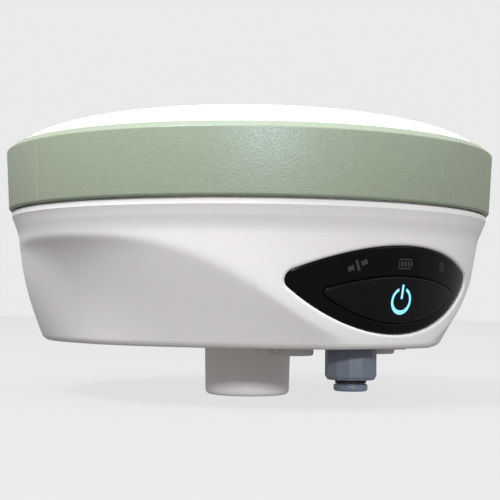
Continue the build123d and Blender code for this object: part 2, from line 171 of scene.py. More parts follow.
def rounded(*corners, steps=5):
    """The outline of corners (x, y) or (x, y, radius), with each radius as an arc."""
    outline = []
    for n, corner in enumerate(corners):
        here = Vector(corner[:2])
        radius = corner[2] if len(corner) > 2 else 0
        if not radius:
            outline.append(tuple(here))
            continue
        back = (Vector(corners[n - 1][:2]) - here).normalized()
        ahead = (Vector(corners[(n + 1) % len(corners)][:2]) - here).normalized()
        half = acos(max(-1.0, min(1.0, back.dot(ahead)))) / 2
        middle = here + (back + ahead).normalized() * (radius / sin(half))
        start = here + back * (radius / tan(half)) - middle
        end = here + ahead * (radius / tan(half)) - middle
        turn = atan2(start.x * end.y - start.y * end.x, start.dot(end))
        for step in range(steps + 1):
            angle = turn * step / steps
            arm = (start.x * cos(angle) - start.y * sin(angle), start.x * sin(angle) + start.y * cos(angle))
            outline.append((middle.x + arm[0], middle.y + arm[1]))
    return outline


def disc(radius, low, high, x=0.0, y=0.0, columns=48, edge_low=0.0, edge_high=0.0):
    shape = Shape()
    profile = rounded((0, low), (radius, low, edge_low), (radius, high, edge_high), (0, high))
    shape.lathe(profile, columns, x, y)
    return shape


def tube(outer, inner, low, high, x=0.0, y=0.0, columns=48, edge=0.0):
    shape = Shape()
    corners = ((inner, low), (outer, low), (outer, high), (inner, high))
    shape.lathe(rounded(*[(r, z, edge) for r, z in corners], steps=3), columns, x, y)
    return shape


def slab(x0, x1, y0, y1, z0, z1, corner=1.0, edge_low=0.0, edge_high=0.0, steps=5):
    """A plate with rounded upright corners and rounded lower and upper edges."""
    def ring(inset, z):
        radius = max(corner - inset, 0.05)
        outline = rounded(
            (x0 + inset, y0 + inset, radius), (x1 - inset, y0 + inset, radius),
            (x1 - inset, y1 - inset, radius), (x0 + inset, y1 - inset, radius), steps=steps)
        return [(x, y, z) for x, y in outline]

    rings = []
    for edge, z, up in ((edge_low, z0, 1), (edge_high, z1, -1)):
        part = [ring(0, z)]
        if edge:
            turns = [pi / 8 * n for n in range(5)]
            part = [ring(edge * (1 - sin(t)), z + up * edge * (1 - cos(t))) for t in turns]
        rings += part if up > 0 else part[::-1]
    shape = Shape()
    shape.stack(rings)
    return shape


def turned(upright, place):
    """The shape with each of its points moved to place(across, back, up)."""
    shape = Shape()
    for face in upright.faces:
        shape.face(*[place(*upright.points[c]) for c in face])
    return shape


def rod_x(radius, x0, x1, y, z, columns=32):
    upright = disc(radius, x0, x1, columns=columns)
    return turned(upright, lambda across, back, up: (up, y + across, z + back))


def rod_y(radius, y0, y1, x, z, columns=32):
    upright = disc(radius, y0, y1, columns=columns)
    return turned(upright, lambda across, back, up: (x + across, up, z + back))


def mesh_of(name, shape):
    mesh = bpy.data.meshes.new(name)
    mesh.from_pydata([[c * MM for c in p] for p in shape.points], [], shape.faces)
    work = bmesh.new()
    work.from_mesh(mesh)
    bmesh.ops.remove_doubles(work, verts=work.verts, dist=2e-6)
    bmesh.ops.dissolve_degenerate(work, edges=work.edges, dist=1e-7)
    bmesh.ops.recalc_face_normals(work, faces=work.faces)
    work.to_mesh(mesh)
    work.free()
    return mesh


def combined(base, cutters=(), additions=()):
    """The base shape with solids added to it and others cut from it, as a shape."""
    scene = bpy.context.scene.collection
    body = bpy.data.objects.new("base", mesh_of("base", base))
    scene.objects.link(body)
    groups = []
    for operation, shapes in (("UNION", additions), ("DIFFERENCE", cutters)):
        if not shapes:
            continue
        group = bpy.data.collections.new(operation)
        groups.append(group)
        for n, shape in enumerate(shapes):
            tool = bpy.data.objects.new(f"tool{n}", mesh_of("tool", shape))
            group.objects.link(tool)
        change = body.modifiers.new(operation, "BOOLEAN")
        change.operation, change.solver = operation, "EXACT"
        change.operand_type, change.collection = "COLLECTION", group
        change.use_self = True
    bpy.context.scene.view_layers[0].update()
    result = body.evaluated_get(bpy.context.evaluated_depsgraph_get()).to_mesh()
    shape = Shape()
    for polygon in result.polygons:
        shape.face(*[[c / MM for c in result.vertices[v].co] for v in polygon.vertices])
    body.evaluated_get(bpy.context.evaluated_depsgraph_get()).to_mesh_clear()
    for group in groups:
        for tool in list(group.objects):
            bpy.data.objects.remove(tool)
        bpy.data.collections.remove(group)
    bpy.data.objects.remove(body)
    return shape


def make(name, shape, body, material, nodes, sharp=32):
    """A piece that stands for CAD nodes and rides on a body."""
    mesh = mesh_of(name, shape)
    mesh.polygons.foreach_set("use_smooth", [True] * len(mesh.polygons))
    mesh.set_sharp_from_angle(angle=radians(sharp))
    mesh.materials.append(material)
    piece = bpy.data.objects.new(name, mesh)
    bpy.context.scene.collection.objects.link(piece)
    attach(piece, body)
    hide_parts(*nodes)
    return piece


# ---- the lower housing -------------------------------------------------------------------

def ease(t):
    t = min(1.0, max(0.0, t))
    return t * t * (3 - 2 * t)


def wall_radius(azimuth, z):
    """Outer radius at an azimuth from -Y toward +X, in degrees, and a height."""
    across, along = abs(sin(radians(azimuth))), cos(radians(azimuth))
    drum = DRUM - (REAR_TAPER + TAPER_RISE * (1 + along)) * max(0.0, DRUM_TOP - z)
    # The foot's outline is pointed toward the front and squarer at the rear.
    reach, power = (FOOT_FRONT, 1.7) if along > 0 else (FOOT_REAR, 2.5)
    foot = ((across / FOOT_SIDE) ** power + (abs(along) / reach) ** power) ** (-1 / power)
    # The scoop's ceiling sweeps up from near the floor to its height at the side.
    ceiling = CEILING_LOW + CEILING_RISE * ease((drum * across - CEILING_START) / CEILING_RUN)
    below = ceiling - z
    below = (below + sqrt(below**2 + SCOOP_SOFT**2)) / 2
    # Under the ceiling the wall steps in, and then leans in to the foot.
    front, rear = ease(along / 0.6), ease(-along / 0.6)
    step = SCOOP_STEP * (1 - front - rear) + FRONT_STEP * front
    share = min(1.0, below / max(6.0, ceiling - FLOOR))
    radius = drum - step * (1 - exp(-below / SCOOP_ROLL))
    radius -= max(0.0, drum - step - foot) * share ** (1 + 0.3 * front + 1.2 * rear)
    # The floor's edge is rounded, and the cove flares out to the rim.
    rise = FLOOR + EDGE - z
    if rise > 0:
        radius -= EDGE - sqrt(EDGE**2 - min(rise, EDGE) ** 2)
    cove = min(1.0, max(0.0, (z - COVE_LOW) / (LIP_LOW - COVE_LOW)))
    return radius + (RIM_RADIUS - DRUM) * cove**1.7


def wall_place(azimuth, z, inset=0.0):
    radius = wall_radius(azimuth, z) - inset
    return radius * sin(radians(azimuth)), -radius * cos(radians(azimuth)), z


def leaf(half_width, tip_z, top_z, bottom_z, tip, grow=0.0):
    """A leaf's outline (x, z): lower arc, right tip, upper arc, left tip."""
    upper = (half_width**2 + (top_z - tip_z) ** 2) / (2 * (top_z - tip_z))
    lower = (half_width**2 + (tip_z - bottom_z) ** 2) / (2 * (tip_z - bottom_z))
    upper_z, lower_z = top_z - upper, bottom_z + lower
    middle_z = (upper - tip) ** 2 - (lower - tip) ** 2 - upper_z**2 + lower_z**2
    middle_z /= 2 * (lower_z - upper_z)
    middle_x = sqrt((upper - tip) ** 2 - (middle_z - upper_z) ** 2)
    high = atan2(middle_z - upper_z, middle_x)
    low = atan2(middle_z - lower_z, middle_x)
    outline = []

    def arc(x, z, radius, start, end, steps):
        for step in range(steps):
            angle = start + (end - start) * step / steps
            outline.append((x + (radius + grow) * cos(angle), z + (radius + grow) * sin(angle)))

    arc(0, lower_z, lower, -pi - low, low, ARC_STEPS)
    arc(middle_x, middle_z, tip, low, high, TIP_STEPS)
    arc(0, upper_z, upper, high, pi - high, ARC_STEPS)
    arc(-middle_x, middle_z, tip, pi - high, pi - low, TIP_STEPS)
    return outline


def face_radius(z, inset):
    """Radius of the panel's face, moved in by inset."""
    return DRUM - PANEL_RECESS - inset - PANEL_SLOPE * (DRUM_TOP - z)


def on_face(x, z, inset=0.0):
    radius = face_radius(z, inset)
    return x, -sqrt(radius**2 - x**2), z


def wall_azimuth(x, z, inset=0.0):
    """The azimuth at which the wall stands at x, found by repeated guesses."""
    azimuth = 0.0
    for _ in range(6):
        azimuth = asin(x / (wall_radius(azimuth * 180 / pi, z) - inset))
    return azimuth * 180 / pi


def window_loop(rows):
    """The window's border as (azimuth, height), in the order of a leaf's outline."""
    turns = [-WINDOW_TURN + TURN_STEP * n for n in range(ARC_STEPS + 1)]
    loop = [(a, rows[0]) for a in turns[:-1]]
    loop += [(WINDOW_TURN, z) for z in rows[:-1]]
    loop += [(a, rows[-1]) for a in turns[:0:-1]]
    return loop + [(-WINDOW_TURN, z) for z in rows[:0:-1]]


def between(one, other, share):
    """The chain of pairs that lies a share of the way from one chain to the other."""
    return [(a + (c - a) * share, b + (d - b) * share) for (a, b), (c, d) in zip(one, other)]


def window_patch(shape, rows, inset, grow):
    """Fills the wall between a rectangle and the panel's outline, and returns the outline's ring."""
    loop = window_loop(rows)
    edge = [(wall_azimuth(x, z, inset), z) for x, z in leaf(**PANEL, grow=grow)]
    steps = 32
    rings = []
    for step in range(steps + 1):
        rings.append([wall_place(a, z, inset) for a, z in between(edge, loop, step / steps)])
    shape.stack(rings, capped=False)
    return rings[0]


def wall_skin(shape, rows, inset, window_rows):
    """The wall's skin between rows of heights, left open at the window."""
    for low, high in zip(rows, rows[1:]):
        for step in range(TURNS):
            left, right = -180 + TURN_STEP * step, -180 + TURN_STEP * (step + 1)
            inside = abs(left + TURN_STEP / 2) < WINDOW_TURN
            if inside and window_rows[0] <= (low + high) / 2 <= window_rows[-1]:
                continue
            corners = ((left, low), (right, low), (right, high), (left, high))
            shape.face(*[wall_place(wrap(a), z, inset) for a, z in corners])


def wrap(azimuth):
    return azimuth - 360 if azimuth > 179.9 else azimuth


def wall_ring(z, inset):
    return [wall_place(-180 + TURN_STEP * step, z, inset) for step in range(TURNS)]


def circle(radius, z):
    """A ring with the wall's columns, starting at the rear."""
    turns = [radians(TURN_STEP * step - 180) for step in range(TURNS)]
    return [(radius * sin(turn), -radius * cos(turn), z) for turn in turns]


def housing_wall():
    """The wall's outside, its rolled rim, its inside and the panel's seat. It is open at the floor."""
    edge_rows = [FLOOR + EDGE * (1 - cos(pi / 18 * n)) for n in range(10)]
    edge_rows += [FLOOR_TOP - 1, FLOOR_TOP]
    tall = TIP_STEPS - 2  # the window's lowest two rows lie below the floor's top
    tall_rows = [FLOOR_TOP + (WINDOW_HIGH - FLOOR_TOP) * n / tall for n in range(1, tall + 1)]
    cove_rows = [WINDOW_HIGH + (LIP_LOW - WINDOW_HIGH) * n / COVE_STEPS for n in range(1, COVE_STEPS + 1)]
    rows = edge_rows + tall_rows + cove_rows
    window_rows = [z for z in rows if WINDOW_LOW - 0.01 < z < WINDOW_HIGH + 0.01]
    shape = Shape()
    wall_skin(shape, rows, 0, window_rows)
    seat = [window_patch(shape, window_rows, 0, 1.4)]

    for grow, depth in ((1.0, 0.04), (0.65, 0.17), (0.4, 0.4), (0.25, 0.8)):
        outline = leaf(**PANEL, grow=grow)
        seat.append([wall_place(wall_azimuth(x, z), z, depth) for x, z in outline])
    for grow, depth in ((0.25, PANEL_THICK + 0.4), (-3.0, PANEL_THICK + 0.4)):
        seat.append([on_face(x, z, depth) for x, z in leaf(**PANEL, grow=grow)])

    inner_rows = [FLOOR_TOP + (WINDOW_HIGH - FLOOR_TOP) * n / TIP_STEPS for n in range(TIP_STEPS + 1)]
    seat.append(window_patch(shape, inner_rows, WALL, -3.0))
    shape.stack(seat, capped=False)
    inner_rows.append(DRUM_TOP - 1)
    wall_skin(shape, inner_rows, WALL, inner_rows[:-1])

    rim = rounded(
        (RIM_RADIUS, LIP_LOW), (RIM_RADIUS, RIM_Z, 0.7),
        (SEAL_GROOVE_OUTER, RIM_Z), (SEAL_GROOVE_OUTER, SEAL_GROOVE_Z),
        (SEAL_GROOVE_INNER, SEAL_GROOVE_Z), (SEAL_GROOVE_INNER, RIM_Z),
        (RIM_INNER, RIM_Z), (RIM_INNER, DRUM_TOP + 1))
    rings = [wall_ring(LIP_LOW, 0)] + [circle(r, z) for r, z in rim] + [wall_ring(DRUM_TOP - 1, WALL)]
    shape.stack(rings, capped=False)
    return shape


def boss():
    """The tapered pole boss round its insert."""
    shape = Shape()
    shape.lathe(rounded(
        (INSERT_RADIUS, 0, 0.3), (BOSS_TIP, 0, 2.0), (BOSS, FLOOR, 0.01), (BOSS + 1.2, FLOOR + 0.4),
        (BOSS, FLOOR + 2), (INSERT_RADIUS, FLOOR + 2)), 144)
    return shape


def hinge_lug(x0, x1):
    lug = slab(x0, x1, HINGE_Y - KNUCKLE, HINGE_Y + KNUCKLE, HINGE_Z, FLOOR + 0.5, corner=0.1)
    return combined(lug, additions=[rod_x(KNUCKLE, x0, x1, HINGE_Y, HINGE_Z)])


def floor_plate():
    """The floor with the boss, screw columns and hinge lugs, and every hole in it."""
    plate = Shape()
    plate.stack([wall_ring(FLOOR, 0), wall_ring(FLOOR_TOP, WALL)])
    through = (FLOOR - 1, FLOOR_TOP + 1)
    additions = [boss(), disc(14.5, FLOOR + 1, 28)]
    cutters = [disc(INSERT_RADIUS, -1, INSERT_TOP, columns=72)]
    for x, y in COLUMNS:
        additions.append(disc(COLUMN_RADIUS, FLOOR + 1, COLUMN_TOP, x, y))
        cutters.append(disc(WELL_RADIUS, 18, WELL_TOP, x, y))
        cutters.append(disc(WELL_RADIUS / 2, WELL_TOP - 1, COLUMN_TOP + 1, x, y, columns=24))
    for x, y in BAY_SCREWS:
        cutters.append(disc(1.3, 22.4, FLOOR_TOP + 1, x, y, columns=24))
    for side in (-1, 1):
        cutters.append(disc(6.5, *through, side * SOCKET_X, SOCKET_Y))
        cutters.append(disc(1.5, *through, side * ANCHOR_X, SOCKET_Y, columns=24))
        additions.append(hinge_lug(*sorted((side * LUG_INNER, side * LUG_OUTER))))
    cutters.append(disc(5.6, *through, 0, CONNECTOR_Y))
    cutters.append(disc(FLANGE_RADIUS + 0.3, 20, FLANGE_HIGH, 0, CONNECTOR_Y, columns=72))
    cutters.append(disc(4.05, *through, *VENT))
    for ring, count in ((0, 1), (4, 6)):
        for step in range(count):
            x, y = SPEAKER[0] + ring * cos(pi / 3 * step), SPEAKER[1] + ring * sin(pi / 3 * step)
            cutters.append(disc(0.9, *through, x, y, columns=20))
    recess = DOOR_HALF + DOOR_GAP
    low, high = DOOR_FRONT - DOOR_GAP, DOOR_BACK + DOOR_GAP
    cutters.append(slab(-recess, recess, low, high, 20, 23.2, corner=2.0))
    groove_low, groove_top = HINGE_Y - KNUCKLE - 0.5, HINGE_Z + KNUCKLE + 0.4
    cutters.append(slab(-LUG_INNER, LUG_INNER, groove_low, 24.6, 20, groove_top, corner=0.1))
    cutters.append(rod_x(HINGE_PIN, -LUG_OUTER, LUG_OUTER, HINGE_Y, HINGE_Z))
    cutters.append(slab(-36, 36, 25.2, 65.5, 22, 26, corner=1.0))
    cutters.append(slab(-5.6, 5.6, 65, 77.5, 22.5, 26, corner=0.5))
    return combined(plate, cutters, additions)


def housing():
    """The wall and the floor in one skin. The floor's own side faces are dropped, for they lie inside."""
    side_depth = 2.5
    shape = housing_wall()
    plate = floor_plate()
    for face in plate.faces:
        places = [plate.points[c] for c in face]
        reach = min(hypot(x, y) - wall_radius(atan2(x, -y) * 180 / pi, FLOOR) for x, y, _ in places)
        upright = max(p[2] for p in places) - min(p[2] for p in places) > 1
        if not (upright and reach > -side_depth):
            shape.face(*places)
    return shape


# ---- the covers --------------------------------------------------------------------------

def moved_in(profile, depth):
    """A closed outline, listed with its inside on the left, moved in by depth."""
    result = []
    for n, here in enumerate(profile):
        back, ahead = profile[n - 1], profile[(n + 1) % len(profile)]
        along = Vector((ahead[0] - back[0], ahead[1] - back[1])).normalized()
        result.append((here[0] - along.y * depth, here[1] + along.x * depth))
    return result


def bumper_ring(start):
    """Half of the ring, from start round to start + 180 degrees, with softened ends."""
    profile = rounded(
        (RING_INNER, RING_BOTTOM, 0.3), (RING_RADIUS - 1.3, RING_BOTTOM, 1.1),
        (RING_RADIUS, RING_TOP - 2.1, 0.8), (RING_RADIUS - 2.6, RING_TOP, 0.8),
        (RING_INNER, RING_TOP, 0.5))
    gap, soft = 0.08, 0.3
    shape = Shape()
    rings = []
    for step in range(5):
        slope = pi / 2 * step / 4
        rings.append((gap + soft * (1 - cos(slope)), soft * (1 - sin(slope))))
    full = [(gap + soft + 2.0, 0.0)]
    ends = [(distance / RING_RADIUS * 180 / pi, inset) for distance, inset in rings + full]
    stations = [(start + turn, inset) for turn, inset in ends]
    stations += [(start + 3 + TURN_STEP * n, 0.0) for n in range(117)]
    stations += [(start + 180 - turn, inset) for turn, inset in ends[::-1]]
    sections = []
    for angle, inset in stations:
        outline = moved_in(profile, inset)
        sections.append([(r * cos(radians(angle)), r * sin(radians(angle)), z) for r, z in outline])
    shape.stack(sections)
    return shape


def dome_height(r, edge_radius, edge_z, top_z):
    return edge_z + (top_z - edge_z) * (1 - (r / edge_radius) ** 2.52) ** 0.6


def dome_arc(edge_radius, edge_z, top_z, steps):
    """The dome's profile from its edge to its top. It is flat on top and rolls over at its edge."""
    reaches = [edge_radius * cos(pi / 2 * n / steps) for n in range(steps)] + [0.0]
    return [(r, dome_height(r, edge_radius, edge_z, top_z)) for r in reaches]


def radome():
    """The dome and its skirt, with the screw posts inside."""
    outer = dome_arc(SKIRT_RADIUS, DOME_EDGE, DOME_TOP, 48)
    inner = dome_arc(SKIRT_INNER, DOME_EDGE - SHELL, DOME_TOP - SHELL, 30)
    skirt = ((SKIRT_INNER, RIM_Z, 0.3), (SKIRT_RADIUS, RIM_Z, 0.3), (SKIRT_RADIUS, DOME_EDGE - 0.7))
    shell = Shape()
    shell.lathe(rounded(*skirt) + outer + inner[::-1], TURNS)
    posts, holes = [], []
    for radius, hole, low, places in ((5.0, 1.5, 69.0, COLUMNS), (4.0, 1.3, 77.6, ANTENNA_POSTS)):
        for x, y in places:
            top = dome_height(hypot(x, y) + radius, SKIRT_RADIUS, DOME_EDGE, DOME_TOP) - 1.0
            posts.append(disc(radius, low, top, x, y, columns=32))
            holes.append(disc(hole, low - 1, low + 9, x, y, columns=20))
    return combined(shell, holes, posts)


# ---- control panel and power button -------------------------------------------------------

def leaf_halves(outline):
    """A leaf's outline as two equal chains from its left end to its right end."""
    start = len(outline) - TIP_STEPS // 2
    turned = outline[start:] + outline[:start]
    half = len(turned) // 2
    return turned[: half + 1], [turned[0]] + turned[: half - 1 : -1]


def leaf_fill(shape, outline, inset, steps=10):
    lower, upper = leaf_halves(outline)
    chains = []
    for step in range(steps + 1):
        chains.append([on_face(x, z, inset) for x, z in between(lower, upper, step / steps)])
    for one, other in zip(chains, chains[1:]):
        shape.strip(one, other, closed=False)


def panel():
    """The panel's face, its rolled edge and the hole for the button."""
    rings = []
    for grow, inset in ((-2.0, 0), (-0.9, 0), (-0.45, 0.06), (-0.12, 0.28), (0, 0.6), (0, PANEL_THICK)):
        rings.append([on_face(x, z, inset) for x, z in leaf(**PANEL, grow=grow)])
    hole = []
    for widen, inset in ((0, PANEL_THICK), (0, 0.4), (0.08, 0.15), (0.3, 0.02), (0.6, 0)):
        hole.append([on_face(x, z, inset) for x, z in leaf(**BUTTON, grow=BUTTON_GAP + widen)])
    inner_edge, outer_edge = leaf(**BUTTON, grow=BUTTON_GAP + 0.6), leaf(**PANEL, grow=-2.0)
    face = []
    for step in range(1, 12):
        face.append([on_face(x, z) for x, z in between(inner_edge, outer_edge, step / 12)])
    shape = Shape()
    shape.stack(hole + face + rings, capped=False)
    shape.strip(rings[-1], hole[0])
    return shape


def panel_posts():
    posts = Shape()
    for x in (-24.0, 24.0):
        post = rod_y(2.2, -82.8, -73.0, x, 47.6)
        posts.join(combined(post, cutters=[rod_y(1.0, -80, -70, x, 47.6, columns=20)]))
    return posts


def button():
    """A leaf that stands proud of the panel, on the stem that presses the switch."""
    rings = []
    profile = ((0, 1.6), (0, -0.05), (-0.1, -0.28), (-0.3, -0.43), (-0.7, -BUTTON_PROUD))
    for grow, inset in profile:
        rings.append([on_face(x, z, inset) for x, z in leaf(**BUTTON, grow=grow)])
    shape = Shape()
    shape.stack(rings, capped=False)
    leaf_fill(shape, leaf(**BUTTON, grow=-0.7), -BUTTON_PROUD)
    leaf_fill(shape, leaf(**BUTTON), 1.6)
    return shape.join(rod_y(2.0, -83.6, -77.15, 0, SYMBOL_Z))


def ribbon(shape, one, other, proud, depth):
    """A thin mark on the curved face between two chains of (x, z) points of equal length."""
    front = [[on_face(x, z, -proud) for x, z in chain] for chain in (one, other)]
    back = [[on_face(x, z, depth) for x, z in chain] for chain in (one, other)]
    shape.strip(*front, closed=False)
    shape.strip(*back, closed=False)
    for n in (0, 1):
        shape.strip(front[n], back[n], closed=False)
    for end in (0, -1):
        shape.face(front[0][end], front[1][end], back[1][end], back[0][end])


def bar(shape, x, z, length, width, tilt, proud, depth):
    """A straight mark about (x, z), its length turned by tilt degrees from +X."""
    right, up = cos(radians(tilt)), sin(radians(tilt))
    chains = []
    for side in (-width / 2, width / 2):
        reaches = [length * (step / 8 - 0.5) for step in range(9)]
        chains.append([(x + right * r - up * side, z + up * r + right * side) for r in reaches])
    ribbon(shape, *chains, proud, depth)


def arc_mark(shape, x, z, inner, outer, start, end, proud, depth, droop=0.0, steps=48):
    """A curved mark. droop thickens it inward toward its lowest point."""
    chains = ([], [])
    for step in range(steps + 1):
        angle = radians(start + (end - start) * step / steps)
        thick = droop * max(0.0, -sin(angle)) ** 2
        for chain, radius in zip(chains, (inner - thick, outer)):
            chain.append((x + radius * cos(angle), z + radius * sin(angle)))
    ribbon(shape, *chains, proud, depth)


def power_symbol():
    shape = Shape()
    face, depth = BUTTON_PROUD + 0.04, -0.3
    arc_mark(shape, 0, SYMBOL_Z, SYMBOL_RADIUS - 0.95, SYMBOL_RADIUS, 114, 426, face, depth, droop=0.55)
    bar(shape, 0, SYMBOL_Z + 3.2, 5.0, 0.95, 90, face, depth)
    return shape


def satellite_icon(shape, x, z, tilt, *lie):
    bar(shape, x, z, 3.9, 1.0, tilt + 90, *lie)
    for reach in (-2.6, 2.6):
        wing = (x + reach * cos(radians(tilt)), z + reach * sin(radians(tilt)))
        bar(shape, *wing, 2.4, 1.7, tilt, *lie)


def battery_icon(shape, z, *lie):
    for side in (-1, 1):
        bar(shape, side * 2.85, z, 3.2, 0.4, 90, *lie)
        bar(shape, 0, z + side * 1.6, 5.3, 0.4, 0, *lie)
    for cell in (-1.5, 0, 1.5):
        bar(shape, cell, z, 1.7, 0.9, 90, *lie)
    bar(shape, 3.4, z, 1.3, 0.45, 90, *lie)


def signal_icon(shape, x, z, *lie):
    for radius in (1.3, 2.5, 3.7):
        arc_mark(shape, x, z, radius - 0.45, radius, 5, 85, *lie, steps=12)


def indicator_marks():
    shape = Shape()
    lie = (0.03, 0.25)  # how far a mark stands proud of the face, and how deep it goes
    satellite_icon(shape, -20.3, 49.9, 24, *lie)
    battery_icon(shape, 50.9, *lie)
    signal_icon(shape, 19.6, 48.6, *lie)
    return shape


# ---- underside fittings -------------------------------------------------------------------

def grip_reach(r, angle):
    """A round reach turned into shallow scallops where it is the cap's grip."""
    if r < GRIP_RADIUS:
        return r
    half = pi / SCALLOPS
    off = (angle + half) % (2 * half) - half
    return r * min(0.955 + 0.037 * (off / half) ** 2, 0.99)


def connector_cap():
    shape = Shape()
    profile = rounded(
        (0, 7.6), (4.8, 7.6), (4.8, CAP_LOW, 0.3), (8.6, CAP_LOW, 0.8), (CAP_RADIUS, 10.6, 0.6),
        (CAP_RADIUS, CAP_HIGH, 0.5), (8.4, CAP_HIGH), (8.2, 20.0), (5.58, 20.0), (5.58, 11.2), (0, 11.2))
    shape.lathe(profile, 144, y=CONNECTOR_Y, swell=grip_reach)
    foot = rounded((0, 5.3), (1.2, 5.1, 0.3), (6.2, 5.1, 0.8), (6.2, 7.6, 0.5), (0, 7.6))
    end_disc = Shape()
    end_disc.lathe(foot, 96, y=CONNECTOR_Y)
    return shape.join(end_disc)


def tether_ring():
    return tube(5.7, 4.85, 7.9, 9.0, y=CONNECTOR_Y, columns=96, edge=0.35)


def thread_skin(shape, minor, major, low, high, pitch, columns=96):
    """A helical thread surface between two heights, as rings that end level."""
    phases = [(0.0, 0.0), (0.12, 0.0), (0.45, 1.0), (0.55, 1.0), (0.88, 0.0)]

    def reach(z, angle):
        phase = (z / pitch - angle / (2 * pi)) % 1.0
        for (a, p), (b, q) in zip(phases, phases[1:] + [(1.0, 0.0)]):
            if a <= phase <= b:
                return minor + (major - minor) * (p + (q - p) * (phase - a) / (b - a))
        return minor

    turns = int((high - low) / pitch) + 2
    for column in range(columns):
        chains = []
        for step in (column, column + 1):
            angle = 2 * pi * step / columns
            chain = []
            for turn in range(-1, turns):
                for phase, _ in phases:
                    z = min(high, max(low, low - low % pitch + (turn + phase + step / columns) * pitch))
                    r = reach(z, angle)
                    chain.append((r * cos(angle), r * sin(angle), z))
            chains.append(chain)
        shape.strip(*chains, closed=False)
    ends = []
    for z in (low, high):
        angles = [2 * pi * step / columns for step in range(columns)]
        ends.append([(reach(z, a) * cos(a), reach(z, a) * sin(a), z) for a in angles])
    return ends


def pole_insert():
    """The threaded insert, with a countersunk mouth."""
    def ring(r, z):
        return [(r * cos(2 * pi * n / 96), r * sin(2 * pi * n / 96), z) for n in range(96)]

    shape = Shape()
    low, high = thread_skin(shape, THREAD_MINOR, THREAD_MAJOR, 0.8, THREAD_DEPTH, THREAD_PITCH)
    outside = [ring(THREAD_MAJOR + 0.3, 0), ring(INSERT_RADIUS - 0.15, 0), ring(INSERT_RADIUS, 0.15)]
    outside += [ring(INSERT_RADIUS, INSERT_TOP), ring(0.5, INSERT_TOP)]
    shape.stack([low] + outside, capped=False)
    shape.face(*ring(0.5, INSERT_TOP))
    shape.face(*high)
    return shape


def antenna_connector():
    shape = Shape()
    barrel, bore = 5.5, 3.8
    shape.lathe(rounded(
        (barrel, FLANGE_LOW), (FLANGE_RADIUS, FLANGE_LOW, 0.3),
        (FLANGE_RADIUS, FLANGE_HIGH), (barrel, FLANGE_HIGH),
        (barrel, 31, 0.4), (0, 31), (0, 17), (bore, 17),
        (bore, 11.5, 0.2), (barrel, 11.5, 0.4)), 96, y=CONNECTOR_Y)
    return shape.join(disc(0.7, 12.2, 17.0, 0, CONNECTOR_Y, columns=24, edge_low=0.3))


def socket_plug(side):
    """A rubber plug with a raised rim, a sealing bead on its spigot and a strap to its hinge."""
    x = side * SOCKET_X
    shape = Shape()
    cover = ((0, 18.5), (5.6, 18.5, 0.6), (6.2, 18.0, 0.4), (8.0, 18.0, 0.9), (8.0, 20.9, 0.3))
    spigot = ((4.3, 20.9, 0.3), (4.3, 21.7, 0.2), (4.4, 22.1, 0.3), (4.3, 22.6, 0.2), (4.1, 23.2, 0.5))
    shape.lathe(rounded(*cover, *spigot, (0, 23.2)), 96, x, SOCKET_Y)
    near, far = sorted((side * 31.2, side * 27.0))
    low, high = SOCKET_Y - 2.5, SOCKET_Y + 2.5
    shape.join(slab(near, far, low, high, 19.3, 20.9, corner=0.4, edge_low=0.35, edge_high=0.35))
    for step in range(3):
        rib = side * (28.0 + 0.9 * step)
        shape.join(slab(rib - 0.2, rib + 0.2, low + 0.2, high - 0.2, 19.05, 19.4, corner=0.1))
    return shape


def plug_anchors():
    shape = Shape()
    for side in (-1, 1):
        ends = sorted((side * 31.4, side * 36.3))
        shape.join(slab(*ends, SOCKET_Y - 2.5, SOCKET_Y + 2.5, 19.3, FLOOR, corner=0.9, edge_low=0.5))
        shape.join(disc(1.45, FLOOR, 25, side * ANCHOR_X, SOCKET_Y, columns=32, edge_high=0.5))
    return shape


def pressure_vent():
    """A snap-in vent whose cap stands on eight pegs."""
    shape = disc(5.2, 20.7, FLOOR, *VENT, columns=96, edge_low=0.2)
    shape.join(disc(4.0, FLOOR, 26, *VENT, edge_high=0.4))
    shape.join(disc(3.9, 20.3, 20.5, *VENT, columns=72, edge_low=0.1))
    for step in range(8):
        x, y = VENT[0] + 3.2 * cos(pi / 4 * step), VENT[1] + 3.2 * sin(pi / 4 * step)
        shape.join(disc(0.45, 20.5, 20.7, x, y, columns=16))
    return shape


def battery_door():
    """The door with its finger grooves, its lock's slot, its inner ribs and its two knuckles."""
    plate = slab(-DOOR_HALF, DOOR_HALF, DOOR_FRONT, DOOR_BACK, FLOOR, 23, corner=6.0, edge_low=0.5)
    cutters = [slab(-2.4, 2.4, 66.8, 72.4, 20, 24, corner=0.4)]
    cutters.append(slab(-7.6, 7.6, 65.0, 74.0, 20, 21.3, corner=2.0))
    for step in range(5):
        y = 56.0 - 2.4 * step
        cutters.append(slab(-12, 12, y - 0.6, y + 0.6, 20, 21.35, corner=0.55))
    additions = []
    for y in (38, 52):
        additions.append(slab(-30, 30, y, y + 2, 22.9, 25.8, corner=0.4))
    for x0, x1 in ((-30.6, -12), (12, 30.6)):
        additions.append(rod_x(KNUCKLE, x0, x1, HINGE_Y, HINGE_Z, columns=40))
        additions.append(slab(x0, x1, HINGE_Y, 24.4, FLOOR, HINGE_Z + KNUCKLE, corner=0.1))
        cutters.append(rod_x(HINGE_PIN + 0.06, x0 - 1, x1 + 1, HINGE_Y, HINGE_Z, columns=32))
    return combined(plate, cutters, additions)


